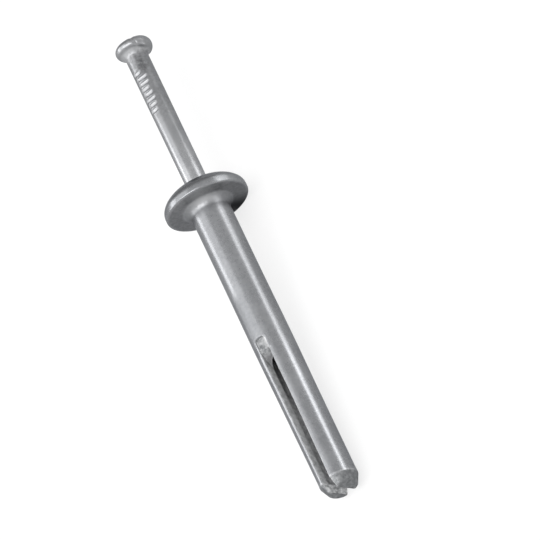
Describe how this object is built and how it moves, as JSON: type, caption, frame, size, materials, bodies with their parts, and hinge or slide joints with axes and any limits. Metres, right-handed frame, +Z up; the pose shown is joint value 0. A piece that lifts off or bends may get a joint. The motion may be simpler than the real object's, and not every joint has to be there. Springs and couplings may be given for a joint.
{
  "type": "masonry anchor",
  "caption": "Mushroom-head drive anchor: split cast shank that a drive nail spreads when it is hammered home.",
  "frame": {"origin": "on the surface it lies on, under the middle of the whole length from nail head to tip", "axes": "+Z up; the anchor's axis lies in the YZ plane with the nail head towards +Y and the tip towards -Y, leaning 4 degrees because it rests on the rim of its head and, near the tip, on both edges of the slot's lower mouth"},
  "size_m": [0.0128, 0.0798, 0.0129],
  "materials": {
    "cast_zinc": "satin",
    "nail_steel": "satin"
  },
  "bodies": {
    "anchor": {"anchor_body": "cast_zinc"},
    "nail": {"drive_nail": "nail_steel"}
  },
  "joints": [
    {"name": "nail_drive", "type": "slide", "parent": "anchor", "child": "nail", "axis": [0, -0.9974, -0.0719], "range_m": [0, 0.0246]}
  ]
}
